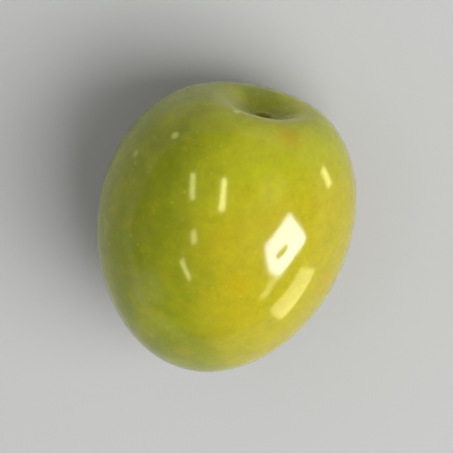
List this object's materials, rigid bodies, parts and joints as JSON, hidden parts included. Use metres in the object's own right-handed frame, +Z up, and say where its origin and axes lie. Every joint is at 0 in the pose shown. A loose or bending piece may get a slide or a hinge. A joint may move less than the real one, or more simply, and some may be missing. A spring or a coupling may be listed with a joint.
{
  "type": "green olive",
  "caption": "Whole unpitted green table olive, lying on its side, with a hollow and stem scar at its blunt end.",
  "frame": {"origin": "on the surface that the olive rests on, under the middle of its outer size", "axes": "+Z up; the stem end points along +X, raised by about 4 degrees as the fruit lies"},
  "size_m": [0.0272, 0.0234, 0.0227],
  "materials": {
    "skin": "glossy wet yellow-green skin"
  },
  "bodies": {
    "root": {"olive": "skin"}
  },
  "joints": []
}
